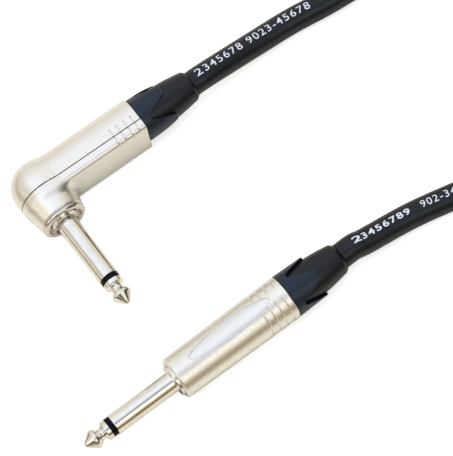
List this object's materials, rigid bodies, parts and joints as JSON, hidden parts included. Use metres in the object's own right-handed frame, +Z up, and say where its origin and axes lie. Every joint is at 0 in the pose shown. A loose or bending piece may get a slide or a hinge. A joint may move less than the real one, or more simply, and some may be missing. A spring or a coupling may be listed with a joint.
{
  "type": "instrument cable",
  "caption": "Two-core audio lead with a straight and a right-angle 6.35 mm jack plug in satin metal, ribbed screw-on boots with petals, and a coiled black cable.",
  "frame": {"origin": "middle of the two plugs' footprint, on the table they lie on", "axes": "+Z up; +X along the straight plug from its tip towards its cable; the right-angle finger points towards -Y"},
  "size_m": [0.2787, 0.1118, 0.035],
  "materials": {
    "plated_contact": "polished nickel plating",
    "insulator": "smooth",
    "terminal": "tinned brass sheet",
    "satin_shell": "satin nickel plating over die-cast metal",
    "bright_ring": "satin nickel plating",
    "chuck": "natural acetal",
    "boot_nut": "satin black glass-filled plastic",
    "boot_guard": "soft matt black",
    "hot_core": "red insulation",
    "ground_core": "light insulation",
    "tie": "black hook-and-loop tape",
    "cable_jacket": "satin black PVC jacket"
  },
  "bodies": {
    "plugs_and_cable": {"straight_tip": "plated_contact", "straight_insulator": "insulator", "straight_sleeve": "plated_contact", "straight_washer": "insulator", "straight_tip_terminal": "terminal", "straight_ground_terminal": "terminal", "straight_shell": "satin_shell", "straight_cable_end": "cable_jacket", "straight_hot_core": "hot_core", "straight_ground_core": "ground_core", "angle_tip": "plated_contact", "angle_insulator": "insulator", "angle_sleeve": "plated_contact", "angle_washer": "insulator", "angle_tip_terminal": "terminal", "angle_ground_terminal": "terminal", "angle_base": "satin_shell", "angle_front_ring": "bright_ring", "angle_cable_end": "cable_jacket", "angle_hot_core": "hot_core", "angle_ground_core": "ground_core", "angle_lead": "cable_jacket", "coil": "cable_jacket", "straight_lead": "cable_jacket", "coil_tie": "tie"},
    "straight_chuck": {"straight_chuck": "chuck"},
    "straight_boot": {"straight_boot_nut": "boot_nut", "straight_boot_guard": "boot_guard"},
    "angle_chuck": {"angle_chuck": "chuck"},
    "angle_boot": {"angle_boot_nut": "boot_nut", "angle_boot_guard": "boot_guard"},
    "angle_cover": {"angle_cover": "satin_shell"}
  },
  "joints": [
    {"name": "straight_boot_back", "type": "slide", "parent": "plugs_and_cable", "child": "straight_chuck", "axis": [1, 0, 0], "range_m": [0, 0.005]},
    {"name": "straight_boot_turn", "type": "hinge", "parent": "straight_chuck", "child": "straight_boot", "pos_m": [0.02598, -0.0368, 0.00702], "axis": [1, 0, 0], "range_deg": [0, 1201]},
    {"name": "angle_boot_back", "type": "slide", "parent": "plugs_and_cable", "child": "angle_chuck", "axis": [0.9996, -0.027, 0], "range_m": [0, 0.005]},
    {"name": "angle_boot_turn", "type": "hinge", "parent": "angle_chuck", "child": "angle_boot", "pos_m": [0.02569, 0.03436, 0.0085], "axis": [0.9996, -0.027, 0], "range_deg": [0, 1201]},
    {"name": "angle_cover_lift", "type": "slide", "parent": "plugs_and_cable", "child": "angle_cover", "axis": [0.027, 0.9996, 0], "range_m": [0, 0.012]}
  ],
  "couplings": [
    {"joint": "straight_boot_turn", "follows": "straight_boot_back", "rad_per_m": 4188.8},
    {"joint": "angle_boot_turn", "follows": "angle_boot_back", "rad_per_m": 4188.8}
  ]
}
